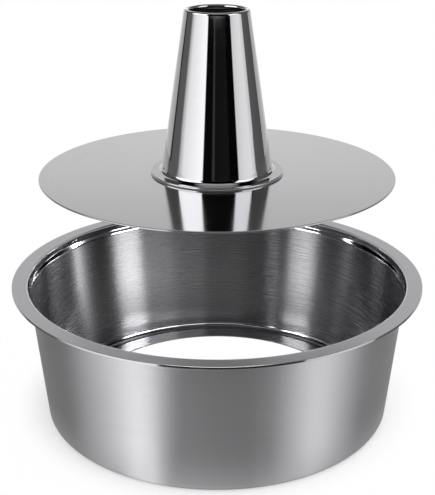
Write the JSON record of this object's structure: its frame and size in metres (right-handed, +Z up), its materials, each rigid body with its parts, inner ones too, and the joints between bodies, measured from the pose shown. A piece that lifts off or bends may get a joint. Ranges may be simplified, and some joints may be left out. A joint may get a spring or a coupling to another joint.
{
  "type": "angel food cake pan",
  "caption": "Round steel tube pan with a tapered wall, flat rim and open floor, and a lift-out floor disc that carries a tapered centre tube.",
  "frame": {"origin": "centre of the outer pan's foot ring, on the surface that the pan stands on", "axes": "+Z up along the pan's axis of symmetry; X and Y are any two directions square to it, and the picture looks along +Y"},
  "size_m": [0.274, 0.274, 0.2723],
  "materials": {
    "pan_steel": "drawn stainless sheet, satin outside and on the rim, polished inside",
    "disc_steel": "flat stainless sheet, fine satin",
    "tube_steel": "spun stainless sheet, mirror polished"
  },
  "bodies": {
    "pan": {"pan_shell": "pan_steel"},
    "insert": {"base_disc": "disc_steel", "center_tube": "tube_steel"}
  },
  "joints": [
    {"name": "insert_lift", "type": "slide", "parent": "pan", "child": "insert", "axis": [0, 0, 1], "range_m": [-0.163, 0.03]}
  ]
}
